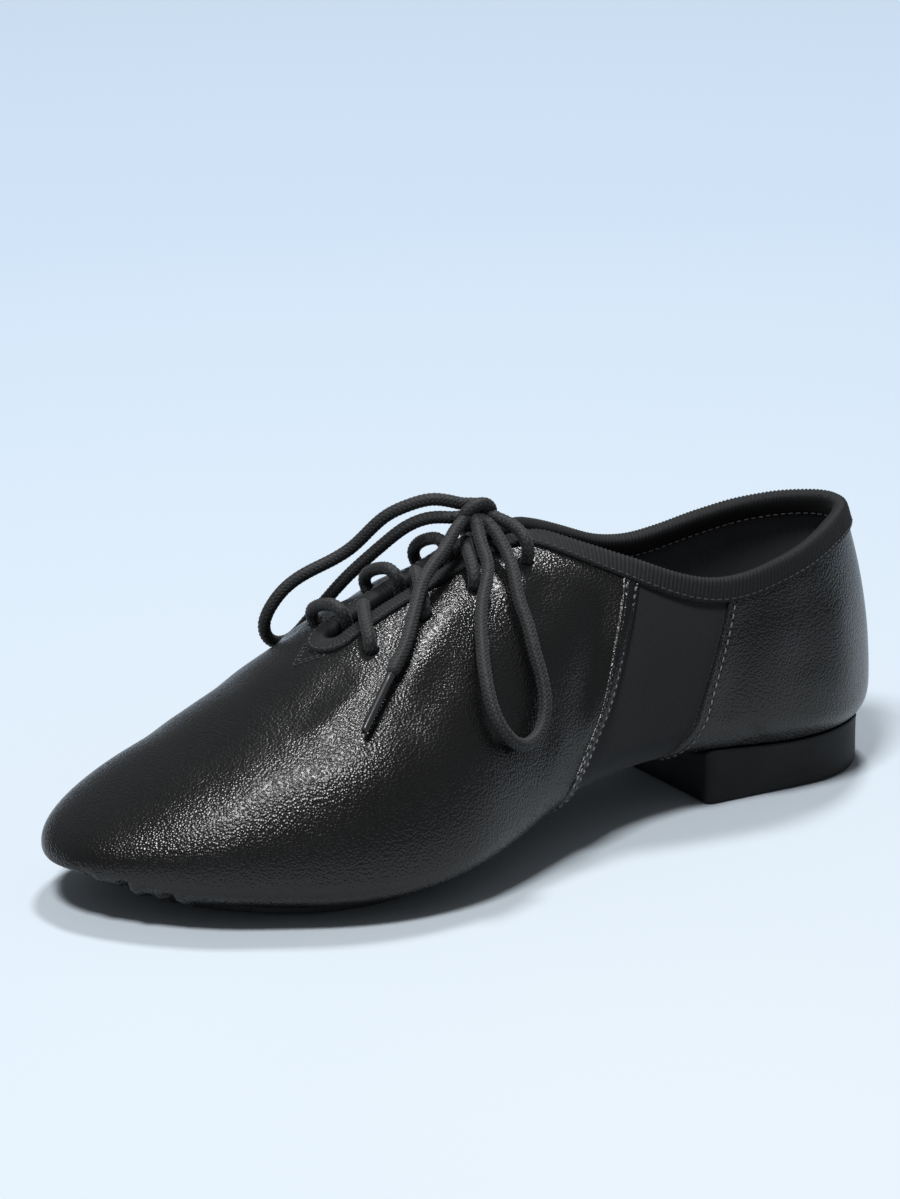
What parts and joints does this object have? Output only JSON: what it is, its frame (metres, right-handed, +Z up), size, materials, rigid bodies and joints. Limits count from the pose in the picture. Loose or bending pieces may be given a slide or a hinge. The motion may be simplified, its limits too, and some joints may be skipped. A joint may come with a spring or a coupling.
{
  "type": "jazz shoe",
  "caption": "Lace-up jazz dance shoe for the left foot: soft hollow leather upper with elastic side gores, split sole, low heel block and a tied round lace",
  "frame": {"origin": "On the floor, under the middle of the shoe's box, measured without the lace's free stretches", "axes": "+Z is up, -X points to the toe, -Y is the outer side of the foot"},
  "size_m": [0.25, 0.093, 0.091],
  "materials": {
    "leather": "fine-grained black leather with a satin sheen",
    "binding": "matte black ribbed elastic tape",
    "sole": "thin matte black sole sheet",
    "heel": "matte black rubber",
    "lining": "dark sock lining",
    "lace": "round braided black cord",
    "lace_tip": "smooth dark plastic"
  },
  "bodies": {
    "root": {"upper": "leather", "edge_binding": "binding", "forefoot_sole": "sole", "heel_block": "heel", "insole": "lining", "lace_crossings": "lace", "lace_knot": "lace", "lace_loop_near": "lace", "lace_loop_far": "lace", "lace_end": "lace", "lace_tip": "lace_tip"}
  },
  "joints": []
}
